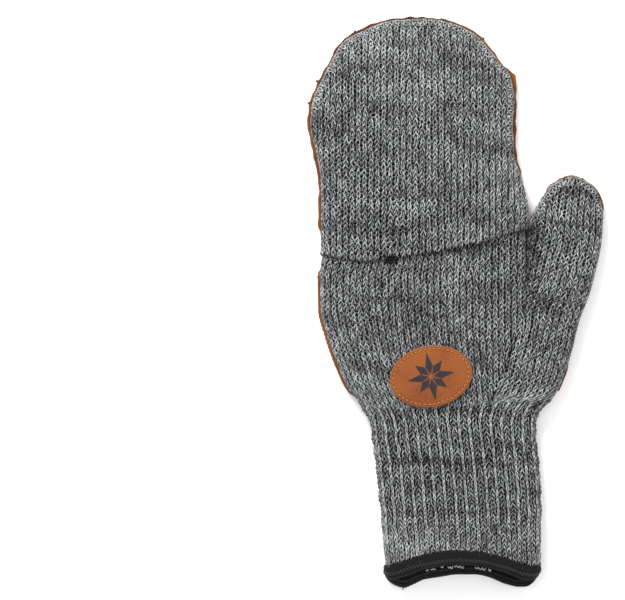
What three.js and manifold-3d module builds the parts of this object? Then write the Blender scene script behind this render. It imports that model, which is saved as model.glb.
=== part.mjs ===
// Fishing mitten for the left hand, lying on its palm: a knitted glove with half fingers, a flip cap
// closed over them, suede on the palm side and an elastic binding round the mouth of the cuff.
// Millimetres. X runs across the hand to the thumb, Y from the cuff to the fingertips, Z up.
import * as THREE from "three";
import Module from "manifold-3d";

const wasm = await Module();
wasm.setup();
const { Manifold, Mesh } = wasm;

// Driving dimensions.
const GAP = 0.3; // air between pieces that touch on the real mitten
const KNIT = 2.5; // wall of the ragg wool knit
const FINGER_KNIT = 1.8; // wall of the half fingers, knitted tighter
const SUEDE = 1.1; // suede sheet
const CAP_EDGE = 0.7; // how far the cap's suede shows past its knit
const SUEDE_TOP = 3.0; // the suede turns up to this height at the sides
const CAP_MOUTH = 27; // edge of the cap on the palm side
const THUMB_JOINT = 16; // the thumb leaves the hand here
const WRIST = -63; // hand and ribbed cuff meet here
const WEB_SLOPE = 0.175; // the finger roots rise towards the index finger
const WEB_MIDDLE = 41.5; // finger root line above X = 0
const RIBS = 34; // ribs round the cuff
const RIB_DEPTH = 0.7;
const BINDING_BAND = 5.2; // height of the elastic band
const BINDING_WALL = 0.9;
const CUFF_END = -143; // knit edge inside the binding, before the mouth is bent
const PATCH = { x: -14.2, y: -38.9, long: 43.4, wide: 32, tilt: 11, thick: 1.4 };

// Sections along the hand: the outline from above, the underside and the crown, by the columns named here.
const COLUMNS = ["y", "left", "right", "floor", "crown"];

const HAND_ROWS = [
  [92, -71.4, 25.6, 2.7, 12.0],
  [76, -69.6, 26.6, 2.7, 12.1],
  [64, -68.6, 30.4, 2.7, 12.2],
  [42, -68.2, 33.3, 2.7, 12.2],
  [28, -68.2, 35.6, 2.7, 12.6],
  [20, -69.7, 36.2, 1.9, 12.9],
  [13, -72.0, 36.4, 0.95, 13.4],
  [-4, -71.7, 36.6, 0.95, 14.6],
  [-18, -68.2, 37.2, 0.95, 15.4],
  [-34, -62.6, 38.4, 0.95, 15.9],
  [-44, -58.2, 39.4, 0.95, 16.0],
  [-52, -52.4, 40.2, 0.8, 16.0],
  [-63, -46.4, 41.2, 0.1, 15.8],
];

const THUMB_ROWS = [
  [64.4, 55.2, 65.2, 3.2, 8.6],
  [62.0, 50.2, 69.6, 1.7, 10.8],
  [57.8, 47.0, 73.4, 1.0, 12.0],
  [52.0, 43.2, 75.6, 0.95, 12.6],
  [45.0, 39.6, 76.5, 0.95, 12.9],
  [35.0, 37.7, 76.2, 0.95, 13.1],
  [16.0, 36.9, 72.7, 0.95, 13.4],
  [4.0, 34.0, 69.4, 0.95, 13.9],
  [-10.0, 28.0, 64.1, 0.95, 14.4],
  [-26.0, 22.0, 60.1, 0.95, 14.7],
  [-40.0, 18.0, 55.4, 0.95, 14.8],
  [-50.0, 16.0, 50.6, 0.9, 14.8],
  [-57.0, 15.0, 44.2, 0.5, 14.6],
  [-63.0, 14.0, 41.0, 0.1, 14.4],
];

const CAP_ROWS = [
  [149.4, -35.2, -9.0, 0.4, 5.0],
  [147.0, -45.4, -1.6, -0.2, 8.2],
  [142.6, -53.0, 7.4, -0.3, 10.4],
  [135.0, -61.6, 15.6, -0.3, 12.2],
  [127.0, -66.6, 21.6, -0.3, 13.4],
  [118.7, -70.8, 28.6, -0.3, 14.3],
  [106.0, -76.4, 30.6, -0.3, 15.2],
  [93.0, -78.0, 29.8, -0.3, 16.0],
  [78.0, -74.8, 30.6, -0.3, 16.5],
  [64.0, -72.4, 34.8, -0.3, 16.7],
  [47.0, -72.2, 38.2, -0.3, 16.7],
  [20.0, -72.8, 37.4, -0.3, 16.7],
];

const CUFF_ROWS = [
  [-63, -46.4, 41.2, 0.1, 15.8],
  [-80, -43.6, 42.6, 0.1, 15.6],
  [-104, -41.2, 44.2, 0.2, 16.4],
  [-126, -39.8, 44.8, 0.5, 18.2],
  [-150, -38.9, 44.0, 0.8, 20.8],
];

// Cap hem across the back, from the little finger to the thumb side.
const HEM = [
  [-74, 25],
  [-61, 22.3],
  [-50, 20.8],
  [-37, 22],
  [-18.6, 24.9],
  [1.3, 28.2],
  [17.6, 32.2],
  [30, 36.5],
  [40, 38.6],
];

// Seam between the suede of the palm and that of the fingers.
const SEAM = [
  [-82, 17],
  [-67, 19],
  [-57, 24.5],
  [-45, 31],
  [-31, 35],
  [-11.5, 37],
  [4, 37.6],
  [19, 38.5],
  [26, 41],
  [34.6, 46.5],
];

// Lower edge of the palm suede, from the thumb side round the notch to the heel of the hand.
const HEEL = [
  [58, -42],
  [51, -47],
  [35, -46.5],
  [20, -41.6],
  [8, -36],
  [2, -33.5],
  [-4, -36],
  [-9, -40.8],
  [-20, -46.5],
  [-36, -52],
  [-47, -53],
  [-58, -47],
  [-72, -34],
];

// The slit between hand and thumb, and the knit edge left free at the outer side of the thumb.
const SLIT = [
  [35.4, 46.5],
  [35.4, 9],
  [36, 7.6],
  [37.4, 7.4],
  [38.4, 9],
  [38.4, 80],
];
const THUMB_SIDE = [
  [82, 80],
  [82, 46],
  [71.6, 14],
  [65.6, -4],
  [59.4, -26],
];

// Half fingers: both edges at the root and at the open end, and where that end is.
const FINGERS = [
  { name: "little", root: [-69, -44.7], end: [-69, -46.6], endY: 64 },
  { name: "ring", root: [-44.4, -17.7], end: [-46.8, -21.8], endY: 81 },
  { name: "middle", root: [-17.4, 9.6], end: [-21.4, 3.6], endY: 88 },
  { name: "index", root: [9.9, 34], end: [5.2, 29], endY: 78 },
];

// Colours and finishes.
const finish = (color, roughness) => new THREE.MeshStandardMaterial({ color, roughness, metalness: 0 });
const GREY_WOOL = 0x6b6c6d;
const TAN_SUEDE = 0xa8612f;
const BLACK_ELASTIC = 0x222224;

// Shape of a section.
const TOP_POWER = 3.2; // how square the crown of a section is
const BOTTOM_POWER = 4.5; // the underside lies flat
const EDGE_SHARE = 0.3; // height of the widest line, as a share of the section

// A table read as smooth curves that never overshoot its rows: returns every column at one y.
function alongHand(rows) {
  const sorted = [...rows].sort((a, b) => a[0] - b[0]);
  const ys = sorted.map((row) => row[0]);
  const slopes = COLUMNS.map((_, c) => {
    const rise = ys.slice(1).map((y, i) => (sorted[i + 1][c] - sorted[i][c]) / (y - ys[i]));
    return ys.map((_, i) => {
      const before = rise[i - 1] ?? rise[i];
      const after = rise[i] ?? rise[i - 1];
      return before * after <= 0 ? 0 : (2 * before * after) / (before + after);
    });
  });
  return (y) => {
    const inside = Math.min(Math.max(y, ys[0]), ys.at(-1));
    const i = Math.min(Math.max(ys.findIndex((v) => v >= inside) - 1, 0), ys.length - 2);
    const span = ys[i + 1] - ys[i];
    const t = (inside - ys[i]) / span;
    const value = (c) => {
      const [a, b] = [sorted[i][c], sorted[i + 1][c]];
      const [p, q] = [slopes[c][i] * span, slopes[c][i + 1] * span];
      return a + p * t + (3 * (b - a) - 2 * p - q) * t * t + (2 * (a - b) + p + q) * t * t * t;
    };
    return Object.fromEntries(COLUMNS.map((name, c) => [name, value(c)]));
  };
}

// The point of a flat-lying tube's section at a share across it, on the upper or the under side.
function sectionPoint({ left, right, floor, crown }, y, grow, across, upper) {
  const edge = floor + EDGE_SHARE * (crown - floor);
  const power = upper ? TOP_POWER : BOTTOM_POWER;
  const reach = (upper ? crown - edge : edge - floor) + grow;
  const lift = (1 - Math.min(Math.abs(across), 1) ** power) ** (1 / power) * reach;
  return [(left + right) / 2 + across * ((right - left) / 2 + grow), y, edge + (upper ? lift : -lift)];
}

// One closed section with its points close together at the two folded edges.
function section(row, y, grow, count) {
  return Array.from({ length: count }, (_, i) => {
    const angle = (2 * Math.PI * i) / count;
    const upper = i < count / 2;
    const power = upper ? TOP_POWER : BOTTOM_POWER;
    const across = Math.sign(Math.cos(angle)) * Math.abs(Math.cos(angle)) ** (2 / power);
    return sectionPoint(row, y, grow, across, upper);
  });
}

// One closed section of ribbed knit, with the ribs evenly spaced round it.
function ribbedSection(row, y) {
  const fine = 1440;
  const turn = (i, grow) => sectionPoint(row, y, grow, Math.cos((2 * Math.PI * i) / fine), i < fine / 2);
  const along = [0];
  for (let i = 1; i <= fine; i++) {
    const [a, b] = [turn(i - 1, 0), turn(i, 0)];
    along.push(along[i - 1] + Math.hypot(b[0] - a[0], b[2] - a[2]));
  }
  const count = RIBS * 4;
  return Array.from({ length: count }, (_, k) => {
    const i = along.findIndex((length) => length >= (along[fine] * k) / count);
    const valley = 0.5 - 0.5 * Math.cos((2 * Math.PI * k) / 4);
    return turn(i, -RIB_DEPTH * valley);
  });
}

// A closed solid through sections of equal point count, from the lowest y to the highest.
function skin(sections) {
  const count = sections[0].length;
  const vertices = sections.flat();
  const triangles = [];
  for (let k = 0; k + 1 < sections.length; k++) {
    for (let i = 0; i < count; i++) {
      const [a, b] = [k * count + i, k * count + ((i + 1) % count)];
      triangles.push(a, b, b + count, a, b + count, a + count);
    }
  }
  for (let i = 1; i + 1 < count; i++) {
    const top = (sections.length - 1) * count;
    triangles.push(0, i + 1, i, top, top + i, top + i + 1);
  }
  const solid = solidOf(vertices, triangles);
  return solid.volume() < 0 ? skin(sections.reverse()) : solid;
}

function solidOf(vertices, triangles) {
  const mesh = new Mesh({
    numProp: 3,
    vertProperties: new Float32Array(vertices.flat()),
    triVerts: new Uint32Array(triangles),
  });
  return new Manifold(mesh);
}

// The rows' own places along the hand between two y values, with both ends.
function stations(rows, low, high) {
  const between = rows.map((row) => row[0]).filter((y) => y > low + 1 && y < high - 1);
  return [low, ...between.sort((a, b) => a - b), high];
}

// A solid tube of a table between two y values, with a section at each of its rows.
function body(rows, grow, low, high, count) {
  const at = alongHand(rows);
  return skin(stations(rows, low, high).map((y) => section(at(y), y, grow, count)));
}

// A block that covers the plan outline between two heights.
function prism(outline, low, high) {
  const shape = new THREE.Shape(outline.map(([x, y]) => new THREE.Vector2(x, y)));
  const geometry = new THREE.ExtrudeGeometry(shape, { depth: high - low, bevelEnabled: false });
  geometry.translate(0, 0, low);
  return weldedSolid(geometry);
}

// A solid from loose triangles, with the points that coincide made one.
function weldedSolid(geometry) {
  const index = new Map();
  const vertices = [];
  const position = geometry.getAttribute("position");
  const triangles = Array.from({ length: position.count }, (_, i) => {
    const point = [position.getX(i), position.getY(i), position.getZ(i)];
    const key = point.map((v) => v.toFixed(4)).join();
    if (!index.has(key)) {
      index.set(key, vertices.length);
      vertices.push(point);
    }
    return index.get(key);
  });
  return solidOf(vertices, triangles);
}

// Height of a tube's upper surface above a place in plan.
function crownAt(rows, x, y) {
  const { left, right, floor, crown } = alongHand(rows)(y);
  const edge = floor + EDGE_SHARE * (crown - floor);
  const across = Math.min(Math.abs((2 * x - left - right) / (right - left)), 1);
  return edge + (crown - edge) * (1 - across ** TOP_POWER) ** (1 / TOP_POWER);
}

// The mouth of the cuff is bent: the middle is drawn back and the lower side reaches further out.
function bentMouth(solid) {
  const { left, right, crown } = alongHand(CUFF_ROWS)(CUFF_END);
  return solid.warp((point) => {
    const share = Math.min(Math.max((-100 - point[1]) / 40, 0), 1);
    const across = Math.abs((2 * point[0] - left - right) / (right - left));
    const upper = Math.min(Math.max(point[2] / crown, 0), 1);
    point[1] -= share * (6.7 * across ** 2.4 - 3.2 - 5.2 * (upper - 0.5));
  });
}

// Knitted parts.
const FAR = 200;
const webAt = (x) => WEB_MIDDLE + WEB_SLOPE * x;
const belowWebs = prism(
  [
    [-FAR, -FAR],
    [FAR, -FAR],
    [FAR, webAt(FAR)],
    [-FAR, webAt(-FAR)],
  ],
  -1,
  40,
);

function handKnit() {
  const outer = body(HAND_ROWS, 0, WRIST, 60, 32)
    .add(body(THUMB_ROWS, 0, WRIST, THUMB_JOINT, 24));
  const inner = body(HAND_ROWS, -KNIT, WRIST - 1, 61, 28)
    .add(body(THUMB_ROWS, -KNIT, WRIST - 1, THUMB_JOINT + 1, 20));
  return outer.subtract(inner).intersect(belowWebs);
}

function thumbKnit() {
  const tip = THUMB_ROWS[0][0];
  const outer = body(THUMB_ROWS, 0, THUMB_JOINT + GAP, tip, 24);
  return outer.subtract(body(THUMB_ROWS, -KNIT, THUMB_JOINT - 1, tip - KNIT, 20));
}

function fingerKnit({ root, end, endY }) {
  const rootY = webAt(root[0]) - 2;
  const { floor, crown } = alongHand(HAND_ROWS)(60);
  const rows = [
    [endY, ...end, floor, crown],
    [rootY, ...root, floor, crown],
  ];
  const withinHand = (grow, count) => {
    const finger = body(rows, grow, rootY + grow, endY - grow, count);
    return finger.intersect(body(HAND_ROWS, grow, 20, 95, 32));
  };
  const tube = withinHand(0, 20).subtract(withinHand(-FINGER_KNIT, 16));
  return tube.subtract(belowWebs.translate(0, GAP, 0));
}

function capKnit() {
  const tip = CAP_ROWS[0][0];
  const outer = body(CAP_ROWS, -CAP_EDGE, 20, tip - CAP_EDGE, 40);
  const inner = body(CAP_ROWS, -CAP_EDGE - KNIT, 19, tip - CAP_EDGE - KNIT, 40);
  const openBelow = inner.add(inner.translate(0, 0, -KNIT));
  const aboveHem = prism([...HEM, [FAR, FAR], [-FAR, FAR]], SUEDE_TOP + GAP, 40);
  return outer.subtract(openBelow).intersect(aboveHem);
}

function cuffKnit() {
  const at = alongHand(CUFF_ROWS);
  const ys = stations(CUFF_ROWS, CUFF_END + BINDING_BAND + GAP, WRIST - GAP);
  const outer = skin(ys.map((y) => ribbedSection(at(y), y)));
  const rim = body(CUFF_ROWS, -RIB_DEPTH, CUFF_END, CUFF_END + BINDING_BAND + 1, 32);
  return bentMouth(outer.add(rim).subtract(body(CUFF_ROWS, -KNIT, -160, 0, 28)));
}

// Suede parts: all of them lie between the floor and the height where the suede turns up.
const FLOOR_BLOCK = Manifold.cube([2 * FAR, 2 * FAR, SUEDE_TOP]).translate(-FAR, -FAR, 0);

function capLeather() {
  const tip = CAP_ROWS[0][0];
  const outer = body(CAP_ROWS, 0, CAP_MOUTH, tip, 36);
  const inner = body(CAP_ROWS, -SUEDE, CAP_MOUTH - 1, tip - SUEDE, 36);
  return outer.subtract(inner).intersect(FLOOR_BLOCK);
}

function soleOfHand(grow) {
  const thumb = body(THUMB_ROWS, grow, WRIST, THUMB_ROWS[0][0] + grow, 24);
  return body(HAND_ROWS, grow, WRIST, 91, 32).add(thumb);
}

const sole = soleOfHand(GAP + SUEDE).subtract(soleOfHand(GAP)).intersect(FLOOR_BLOCK);

// The palm suede covers palm and thumb in one piece.
function palmLeather() {
  return sole.intersect(prism([...SEAM, ...SLIT, ...THUMB_SIDE, ...HEEL, [-82, -34]], -1, 40));
}

// The finger suede runs from the seam to just short of each finger's open end.
function fingerLeather() {
  const strips = FINGERS.toReversed().flatMap(({ root, end, endY }) => [
    [root[1] - 1.6, webAt(root[1])],
    [end[1] - 1.6, endY - 2],
    [end[0] + 1.6, endY - 2],
    [root[0] + 1.6, webAt(root[0])],
  ]);
  const lower = SEAM.slice(1, -1).map(([x, y]) => [x, y + GAP]);
  return sole.intersect(prism([...lower, ...strips, [-71, 24]], -1, 40));
}

// Oval badge on the back of the hand, laid over the knit.
function backPatch() {
  const [rings, spokes] = [4, 36];
  const turn = THREE.MathUtils.degToRad(PATCH.tilt);
  const place = (share, spoke, lift) => {
    const angle = (2 * Math.PI * spoke) / spokes;
    const along = (share * PATCH.long * Math.cos(angle)) / 2;
    const across = (share * PATCH.wide * Math.sin(angle)) / 2;
    const x = PATCH.x + along * Math.cos(turn) - across * Math.sin(turn);
    const y = PATCH.y + along * Math.sin(turn) + across * Math.cos(turn);
    return [x, y, crownAt(HAND_ROWS, x, y) + lift];
  };
  const ring = (share, lift) => Array.from({ length: spokes }, (_, i) => place(share, i, lift));
  const layer = (lift) => Array.from({ length: rings }, (_, k) => ring((k + 1) / rings, lift));
  const top = GAP + PATCH.thick;
  const vertices = [place(0, 0, GAP), ...layer(GAP).flat(), ...layer(top).reverse().flat(), place(0, 0, top)];
  const triangles = [];
  for (let i = 0; i < spokes; i++) {
    const j = (i + 1) % spokes;
    triangles.push(0, 1 + j, 1 + i);
    for (let k = 0; k + 1 < 2 * rings; k++) {
      const [a, b] = [1 + k * spokes + i, 1 + k * spokes + j];
      triangles.push(a, b, b + spokes, a, b + spokes, a + spokes);
    }
    const last = 1 + (2 * rings - 1) * spokes;
    triangles.push(last + i, last + j, last + spokes);
  }
  return solidOf(vertices, triangles);
}

// Elastic binding: a U of tape over the knit edge.
function cuffBinding() {
  const top = CUFF_END + BINDING_BAND;
  const outside = GAP + BINDING_WALL - RIB_DEPTH;
  const tape = body(CUFF_ROWS, outside, CUFF_END - GAP - BINDING_WALL, top, 32)
    .subtract(body(CUFF_ROWS, -KNIT - GAP - BINDING_WALL, -160, 0, 28));
  const channel = body(CUFF_ROWS, GAP - RIB_DEPTH, CUFF_END - GAP, top + 1, 32)
    .subtract(body(CUFF_ROWS, -KNIT - GAP, -160, 0, 28));
  return bentMouth(tape.subtract(channel));
}

// The mitten, piece by piece.
function mesh(name, solid, material) {
  const { vertProperties, triVerts } = solid.getMesh();
  const geometry = new THREE.BufferGeometry();
  geometry.setAttribute("position", new THREE.BufferAttribute(vertProperties, 3));
  geometry.setIndex(new THREE.BufferAttribute(triVerts, 1));
  geometry.computeVertexNormals();
  const made = new THREE.Mesh(geometry, material);
  made.name = name;
  return made;
}

const mitten = new THREE.Group();
mitten.name = "fishing_mitten";
mitten.add(mesh("hand_knit", handKnit(), finish(GREY_WOOL, 0.95)));
mitten.add(mesh("thumb_knit", thumbKnit(), finish(GREY_WOOL, 0.95)));
for (const finger of FINGERS) {
  mitten.add(mesh(`${finger.name}_knit`, fingerKnit(finger), finish(GREY_WOOL, 0.95)));
}
mitten.add(mesh("cap_knit", capKnit(), finish(GREY_WOOL, 0.95)));
mitten.add(mesh("cuff_knit", cuffKnit(), finish(GREY_WOOL, 0.95)));
mitten.add(mesh("cap_leather", capLeather(), finish(TAN_SUEDE, 0.9)));
mitten.add(mesh("palm_leather", palmLeather(), finish(TAN_SUEDE, 0.9)));
mitten.add(mesh("finger_leather", fingerLeather(), finish(TAN_SUEDE, 0.9)));
mitten.add(mesh("back_patch", backPatch(), finish(TAN_SUEDE, 0.9)));
mitten.add(mesh("cuff_binding", cuffBinding(), finish(BLACK_ELASTIC, 0.8)));

export default mitten;
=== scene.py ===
"""Looks of a knitted fishing mitten: wool yarn stitch by stitch, suede with grip dots, seams, badge and binding."""
import math

import bmesh
import bpy
import numpy as np
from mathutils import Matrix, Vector


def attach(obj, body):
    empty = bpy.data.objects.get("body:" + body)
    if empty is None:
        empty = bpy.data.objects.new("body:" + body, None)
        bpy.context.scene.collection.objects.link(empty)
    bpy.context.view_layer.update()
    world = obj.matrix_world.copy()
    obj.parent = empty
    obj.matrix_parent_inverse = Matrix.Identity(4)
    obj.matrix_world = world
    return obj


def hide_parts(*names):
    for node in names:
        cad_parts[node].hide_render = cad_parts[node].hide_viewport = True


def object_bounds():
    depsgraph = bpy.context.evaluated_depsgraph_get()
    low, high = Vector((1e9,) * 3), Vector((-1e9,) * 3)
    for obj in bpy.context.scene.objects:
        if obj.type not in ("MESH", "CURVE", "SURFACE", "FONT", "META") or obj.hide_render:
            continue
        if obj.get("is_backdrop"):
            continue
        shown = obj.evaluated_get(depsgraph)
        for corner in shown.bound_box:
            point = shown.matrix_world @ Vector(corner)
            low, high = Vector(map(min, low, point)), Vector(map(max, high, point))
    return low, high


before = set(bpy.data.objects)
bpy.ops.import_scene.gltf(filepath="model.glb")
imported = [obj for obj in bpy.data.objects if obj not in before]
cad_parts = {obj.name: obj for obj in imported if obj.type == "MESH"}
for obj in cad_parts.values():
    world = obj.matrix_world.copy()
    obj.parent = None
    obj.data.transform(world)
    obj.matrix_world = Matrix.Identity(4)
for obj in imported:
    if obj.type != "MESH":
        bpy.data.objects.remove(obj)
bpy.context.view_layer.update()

MM = 0.001
chance = np.random.default_rng(7)

# Sizes shared with the solids, in millimetres.
HAND_ROWS = [  # y, left, right, underside, crown
    (92, -71.4, 25.6, 2.7, 12.0),
    (76, -69.6, 26.6, 2.7, 12.1),
    (64, -68.6, 30.4, 2.7, 12.2),
    (42, -68.2, 33.3, 2.7, 12.2),
    (28, -68.2, 35.6, 2.7, 12.6),
    (20, -69.7, 36.2, 1.9, 12.9),
    (13, -72.0, 36.4, 0.95, 13.4),
    (-4, -71.7, 36.6, 0.95, 14.6),
    (-18, -68.2, 37.2, 0.95, 15.4),
    (-34, -62.6, 38.4, 0.95, 15.9),
    (-44, -58.2, 39.4, 0.95, 16.0),
    (-52, -52.4, 40.2, 0.8, 16.0),
    (-63, -46.4, 41.2, 0.1, 15.8),
]
THUMB_ROWS = [
    (64.4, 55.2, 65.2, 3.2, 8.6),
    (62.0, 50.2, 69.6, 1.7, 10.8),
    (57.8, 47.0, 73.4, 1.0, 12.0),
    (52.0, 43.2, 75.6, 0.95, 12.6),
    (45.0, 39.6, 76.5, 0.95, 12.9),
    (35.0, 37.7, 76.2, 0.95, 13.1),
    (16.0, 36.9, 72.7, 0.95, 13.4),
    (4.0, 34.0, 69.4, 0.95, 13.9),
    (-10.0, 28.0, 64.1, 0.95, 14.4),
    (-26.0, 22.0, 60.1, 0.95, 14.7),
    (-40.0, 18.0, 55.4, 0.95, 14.8),
    (-50.0, 16.0, 50.6, 0.9, 14.8),
    (-57.0, 15.0, 44.2, 0.5, 14.6),
    (-63.0, 14.0, 41.0, 0.1, 14.4),
]
CAP_ROWS = [
    (149.4, -35.2, -9.0, 0.4, 5.0),
    (147.0, -45.4, -1.6, -0.2, 8.2),
    (142.6, -53.0, 7.4, -0.3, 10.4),
    (135.0, -61.6, 15.6, -0.3, 12.2),
    (127.0, -66.6, 21.6, -0.3, 13.4),
    (118.7, -70.8, 28.6, -0.3, 14.3),
    (106.0, -76.4, 30.6, -0.3, 15.2),
    (93.0, -78.0, 29.8, -0.3, 16.0),
    (78.0, -74.8, 30.6, -0.3, 16.5),
    (64.0, -72.4, 34.8, -0.3, 16.7),
    (47.0, -72.2, 38.2, -0.3, 16.7),
    (20.0, -72.8, 37.4, -0.3, 16.7),
]
CUFF_ROWS = [
    (-63, -46.4, 41.2, 0.1, 15.8),
    (-80, -43.6, 42.6, 0.1, 15.6),
    (-104, -41.2, 44.2, 0.2, 16.4),
    (-126, -39.8, 44.8, 0.5, 18.2),
    (-150, -38.9, 44.0, 0.8, 20.8),
]
HEM = [(-74, 25), (-61, 22.3), (-50, 20.8), (-37, 22), (-18.6, 24.9), (1.3, 28.2), (17.6, 32.2), (30, 36.5), (40, 38.6)]
SEAM = [
    (-82, 20.6), (-70, 20.8), (-64, 22), (-57, 24.8), (-45, 31), (-31, 35), (-11.5, 37), (4, 37.6), (19, 38.5),
    (26, 41), (34.6, 46.5),
]
HEEL = [
    (58, -42), (51, -47), (35, -46.5), (20, -41.6), (8, -36), (2, -33.5), (-4, -36), (-9, -40.8), (-20, -46.5),
    (-36, -52), (-47, -53), (-58, -47), (-66, -38),
]
FINGERS = {  # both edges at the root and at the open end, and where that end is
    "little": ((-69, -44.7), (-69, -46.6), 64),
    "ring": ((-44.4, -17.7), (-46.8, -21.8), 81),
    "middle": ((-17.4, 9.6), (-21.4, 3.6), 88),
    "index": ((9.9, 34), (5.2, 29), 78),
}
TOP_POWER, BOTTOM_POWER, EDGE_SHARE = 3.2, 4.5, 0.3  # how square a tube is, and how high it is widest
GAP = 0.3  # between pieces
CAP_EDGE = 0.7  # how far the cap's knit ends inside its suede
CAP_MOUTH, WRIST, CUFF_END = 27.0, -63.0, -143.0  # y of the suede's lower edge, the wrist and the knit's end
BINDING_BAND, CUFF_MIDDLE = 5.2, 2.6  # height of the tape, and the x of the cuff's middle
PATCH_CENTRE, PATCH_SIZE, PATCH_TILT = (-14.2, -38.9), (43.4, 32.0), 11.0

# Knit gauge of a heavy ragg wool yarn.
WALE, COURSE = 3.35, 2.5  # width and height of a stitch
YARN = 0.35  # radius of the yarn


def smooth(rows):
    """A table as curves that never overshoot its rows: a function of its first column."""
    table = np.array(sorted(rows), dtype=float)
    xs, values = table[:, 0], table[:, 1:]
    rise = np.diff(values, axis=0) / np.diff(xs)[:, None]
    before, after = np.vstack([rise[:1], rise]), np.vstack([rise, rise[-1:]])
    level = before * after <= 0
    slope = np.where(level, 0, 2 * before * after / np.where(level, 1, before + after))

    def at(x):
        x = np.clip(np.asarray(x, dtype=float), xs[0], xs[-1])
        i = np.clip(np.searchsorted(xs, x, side="right") - 1, 0, len(xs) - 2)
        span = xs[i + 1] - xs[i]
        t = ((x - xs[i]) / span)[..., None]
        a, b = values[i], values[i + 1]
        p, q = slope[i] * span[..., None], slope[i + 1] * span[..., None]
        found = a + p * t + (3 * (b - a) - 2 * p - q) * t**2 + (2 * (a - b) + p + q) * t**3
        return found[..., 0] if found.shape[-1] == 1 else found

    return at


hem_at, seam_at = smooth(HEM), smooth(SEAM)
heel_at = smooth([(x, y) for x, y in HEEL if x < 55])


class Tube:
    """The surface of a flat-lying tube, read by place along the hand and by arc length from its crown line."""

    def __init__(self, rows, grow=0.0, step=0.25):
        self.sizes = smooth(rows)
        self.grow, self.step = grow, step
        self.low, self.high = min(rows)[0], max(rows)[0]
        self.ys = np.arange(self.low, self.high + step, step)
        left, right, floor, crown = self.sizes(self.ys).T
        edge = floor + EDGE_SHARE * (crown - floor)
        turn = np.linspace(0, math.pi / 2, 160)
        top, under = np.sin(turn), np.cos(turn)[1:]
        rise = (1 - top**TOP_POWER) ** (1 / TOP_POWER)
        drop = (1 - under**BOTTOM_POWER) ** (1 / BOTTOM_POWER)
        half = ((right - left) / 2 + grow)[:, None]
        x = half * np.concatenate([top, under])
        upper = edge[:, None] + (crown - edge + grow)[:, None] * rise
        z = np.hstack([upper, edge[:, None] - (edge - floor + grow)[:, None] * drop])
        steps = np.hypot(np.diff(x, axis=1), np.diff(z, axis=1))
        arc = np.hstack([np.zeros((len(x), 1)), np.cumsum(steps, axis=1)])
        self.half_round = arc[:, -1]
        self.arcs = np.arange(0, arc.max() + step, step)
        self.x = np.array([np.interp(self.arcs, a, row) for a, row in zip(arc, x)])
        self.z = np.array([np.interp(self.arcs, a, row) for a, row in zip(arc, z)])

    def middle(self, y):
        sizes = self.sizes(y)
        return (sizes[..., 0] + sizes[..., 1]) / 2

    def point(self, y, s):
        """The place in space at y along the hand and at arc length s from the crown line."""
        i = np.clip((y - self.low) / self.step, 0, len(self.ys) - 1.001)
        k = np.clip(np.abs(s) / self.step, 0, len(self.arcs) - 1.001)
        i0, k0 = i.astype(int), k.astype(int)
        u, v = i - i0, k - k0

        def read(grid):
            return ((grid[i0, k0] * (1 - u) + grid[i0 + 1, k0] * u) * (1 - v)
                    + (grid[i0, k0 + 1] * (1 - u) + grid[i0 + 1, k0 + 1] * u) * v)

        return np.stack([self.middle(y) + np.sign(s) * read(self.x), y, read(self.z)], axis=-1)

    def normal(self, y, s):
        across = self.point(y, s + 0.3) - self.point(y, s - 0.3)
        far = np.clip(y + 0.5, self.low + 1.0, self.high)
        along = self.point(far, s) - self.point(far - 1.0, s)
        found = np.cross(across, along)
        return found / np.maximum(np.linalg.norm(found, axis=-1, keepdims=True), 1e-9)

    def top(self, x, y):
        """Height of the upper side above a place in plan; far below where the tube isn't."""
        return self._height(x, y, True)

    def under(self, x, y):
        return self._height(x, y, False)

    def _height(self, x, y, upper):
        x, y = np.asarray(x, dtype=float), np.asarray(y, dtype=float)
        left, right, floor, crown = np.moveaxis(self.sizes(y), -1, 0)
        edge = floor + EDGE_SHARE * (crown - floor)
        across = np.abs((2 * x - left - right) / (right - left + 2 * self.grow))
        power = TOP_POWER if upper else BOTTOM_POWER
        share = (1 - np.minimum(across, 1) ** power) ** (1 / power)
        height = edge + (crown - edge + self.grow) * share if upper else edge - (edge - floor + self.grow) * share
        outside = (across > 1) | (y > self.high + self.grow) | (y < self.low - self.grow)
        return np.where(outside, -99.0 if upper else 99.0, height)


def ramp(x, start, end):
    """From 0 at start to 1 at end, and level outside."""
    return np.clip((x - start) / (end - start), 0, 1)


def hump(x, centre, width, power=2):
    """A smooth hump of height 1, squarer with a higher power."""
    return np.exp(-(((x - centre) / width) ** power))


def lengths(points):
    """How far along a line each of its points is."""
    return np.concatenate([[0], np.cumsum(np.linalg.norm(np.diff(points, axis=0), axis=1))])


# How far the upper and the lower side of the cuff's mouth are bent, by x.
LIP = smooth([
    (-41, 2.0), (-36, 2.0), (-30, 3.2), (-19, 5.8), (-1.3, 8.2), (11.3, 7.6), (24, 4.8), (36.8, 1.3), (41, 1.2),
    (45, 2.2),
])
LOWER_LIP = smooth([
    (-41, 3.6), (-39.8, 0.6), (-37, -3.6), (-32.5, -6.4), (-28.8, -7.2), (-24, -5.4), (-17.3, -2.4), (-1.3, 0.2),
    (8.1, 0.6), (17.6, -1.4), (27, -4.8), (33.5, -6.4), (37.5, -6.2), (41, -4.0), (43.4, -0.6), (45, 3.0),
])


def bent_mouth(points):
    """The mouth of the cuff: its middle is drawn back, and its lower side reaches out, most near both corners."""
    crown = smooth(CUFF_ROWS)(CUFF_END)[3]
    x, y, z = np.moveaxis(points, -1, 0)
    share, upper = ramp(y, -100, -140), ramp(z, 0, crown)
    bent_y = y + share * (upper * LIP(x) + (1 - upper) * LOWER_LIP(x))
    return np.stack([x - 0.03 * share * (x - CUFF_MIDDLE), bent_y, z], axis=-1)


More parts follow.
